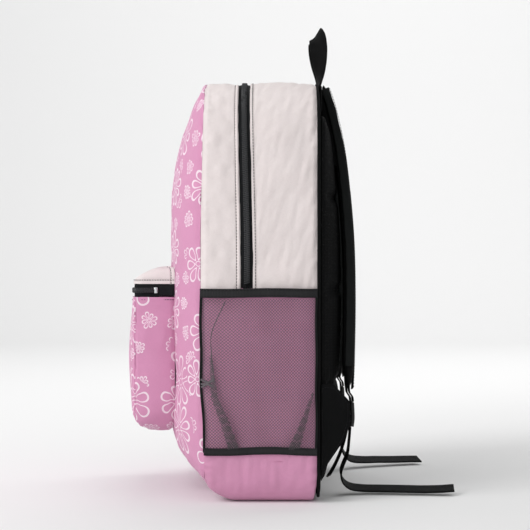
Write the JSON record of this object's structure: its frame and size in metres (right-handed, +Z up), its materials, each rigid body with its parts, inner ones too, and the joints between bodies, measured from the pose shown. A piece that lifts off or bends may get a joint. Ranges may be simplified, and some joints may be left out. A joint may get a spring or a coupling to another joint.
{
  "type": "school backpack",
  "caption": "Soft two-tone school backpack with a zipped front opening, front pocket, net side pockets, padded back and shoulder straps, ladder-lock adjusters and a haul loop.",
  "frame": {"origin": "on the floor, under the middle of the flat of the base", "axes": "+Z up; -Y towards the front pocket, +Y towards the wearer's back; +X towards the wearer's right"},
  "size_m": [0.3304, 0.36, 0.526],
  "materials": {
    "pale_fabric": "matt plain weave, pale pinkish grey",
    "pink_fabric": "matt plain weave, mid pink",
    "printed_fabric": null,
    "net": "open black diamond net",
    "black_webbing": "woven black webbing and binding",
    "zip_tape": "black zip tape with a nylon coil",
    "slider_metal": "black painted die-cast zip slider and pull",
    "steel": "bright stamped stop",
    "black_fabric": "padded black polyester and spacer mesh",
    "buckle_plastic": "black moulded acetal",
    "foam": "light closed-cell foam board under the lining",
    "stiff_board": "stiff board in the base, under the lining",
    "lining": "dark plain lining"
  },
  "bodies": {
    "root": {"front_panel_lower": "printed_fabric", "pocket_front": "printed_fabric", "pocket_gusset": "printed_fabric", "base_panel": "pink_fabric", "side_panel_right": "pink_fabric", "side_panel_left": "pink_fabric", "gusset_rear": "pale_fabric", "gusset_foot_right": "pale_fabric", "gusset_foot_left": "pale_fabric", "pocket_top": "pale_fabric", "side_pocket_net_right": "net", "side_pocket_net_left": "net", "lower_webbing_right": "black_webbing", "lower_webbing_left": "black_webbing", "side_pocket_elastic_right": "black_webbing", "side_pocket_elastic_left": "black_webbing", "side_pocket_hem_right": "black_webbing", "side_pocket_hem_left": "black_webbing", "sleeve_tab": "black_webbing", "rear_piping": "black_webbing", "main_zip_rear_half": "zip_tape", "main_zip_foot_right": "zip_tape", "main_zip_foot_left": "zip_tape", "pocket_zip_lower_half": "zip_tape", "pocket_zip_tab_right": "zip_tape", "pocket_zip_tab_left": "zip_tape", "pocket_zip_stop": "steel", "back_pad": "black_fabric", "strap_yoke": "black_fabric", "wing_tab_right": "black_fabric", "wing_tab_left": "black_fabric", "back_board": "foam", "base_stiffener": "stiff_board", "laptop_sleeve": "lining", "sleeve_gusset": "lining"},
    "front_flap": {"front_panel_upper": "printed_fabric", "gusset_front": "pale_fabric", "main_zip_front_half": "zip_tape"},
    "slider_right": {"main_slider_right": "slider_metal"},
    "slider_left": {"main_slider_left": "slider_metal"},
    "pull_right": {"main_pull_right": "slider_metal"},
    "pull_left": {"main_pull_left": "slider_metal"},
    "lid": {"pocket_lid": "pale_fabric", "pocket_zip_upper_half": "zip_tape"},
    "pocket_slider": {"pocket_slider": "slider_metal"},
    "pocket_pull": {"pocket_pull": "slider_metal"},
    "strap_right": {"strap_pad_right": "black_fabric", "strap_loop_right": "black_webbing", "strap_tail_right": "black_webbing"},
    "strap_left": {"strap_pad_left": "black_fabric", "strap_loop_left": "black_webbing", "strap_tail_left": "black_webbing"},
    "lock_right": {"ladder_lock_right": "buckle_plastic"},
    "lock_left": {"ladder_lock_left": "buckle_plastic"},
    "haul_loop": {"haul_loop": "black_webbing"}
  },
  "joints": [
    {"name": "front_opening", "type": "hinge", "parent": "root", "child": "front_flap", "pos_m": [0, -0.092, 0.258], "axis": [1, 0, 0], "range_deg": [0, 30]},
    {"name": "main_slider_right_travel", "type": "slide", "parent": "root", "child": "slider_right", "axis": [1, 0, 0], "range_m": [0, 0.072]},
    {"name": "main_pull_right_swing", "type": "hinge", "parent": "slider_right", "child": "pull_right", "pos_m": [0.0075, -0.0174, 0.4542], "axis": [0, -1, 0], "range_deg": [0, 120]},
    {"name": "main_slider_left_travel", "type": "slide", "parent": "root", "child": "slider_left", "axis": [-1, 0, 0], "range_m": [0, 0.072]},
    {"name": "main_pull_left_swing", "type": "hinge", "parent": "slider_left", "child": "pull_left", "pos_m": [-0.0075, -0.0174, 0.4542], "axis": [0, 1, 0], "range_deg": [0, 120]},
    {"name": "pocket_lid_opening", "type": "hinge", "parent": "root", "child": "lid", "pos_m": [0, -0.111, 0.2505], "axis": [-1, 0, 0], "range_deg": [0, 75]},
    {"name": "pocket_slider_travel", "type": "slide", "parent": "root", "child": "pocket_slider", "axis": [1, 0, 0], "range_m": [0, 0.152]},
    {"name": "pocket_pull_swing", "type": "hinge", "parent": "pocket_slider", "child": "pocket_pull", "pos_m": [-0.082, -0.1428, 0.2245], "axis": [0, 0, -1], "range_deg": [0, 120]},
    {"name": "strap_right_swing", "type": "hinge", "parent": "root", "child": "strap_right", "pos_m": [0.064, 0.068, 0.447], "axis": [1, 0, 0], "range_deg": [0, 12]},
    {"name": "lock_right_tilt", "type": "hinge", "parent": "strap_right", "child": "lock_right", "pos_m": [0.1, 0.099, 0.1035], "axis": [1, 0, 0], "range_deg": [0, 20]},
    {"name": "strap_left_swing", "type": "hinge", "parent": "root", "child": "strap_left", "pos_m": [-0.064, 0.068, 0.447], "axis": [1, 0, 0], "range_deg": [0, 12]},
    {"name": "lock_left_tilt", "type": "hinge", "parent": "strap_left", "child": "lock_left", "pos_m": [-0.1, 0.099, 0.1035], "axis": [1, 0, 0], "range_deg": [0, 20]},
    {"name": "haul_loop_fold", "type": "hinge", "parent": "root", "child": "haul_loop", "pos_m": [0, 0.0665, 0.4525], "axis": [1, 0, 0], "range_deg": [-70, 70]}
  ],
  "couplings": [
    {"joint": "main_slider_right_travel", "follows": "front_opening", "m_per_rad": 0.1374},
    {"joint": "main_slider_left_travel", "follows": "front_opening", "m_per_rad": 0.1374},
    {"joint": "pocket_slider_travel", "follows": "pocket_lid_opening", "m_per_rad": 0.1145}
  ]
}
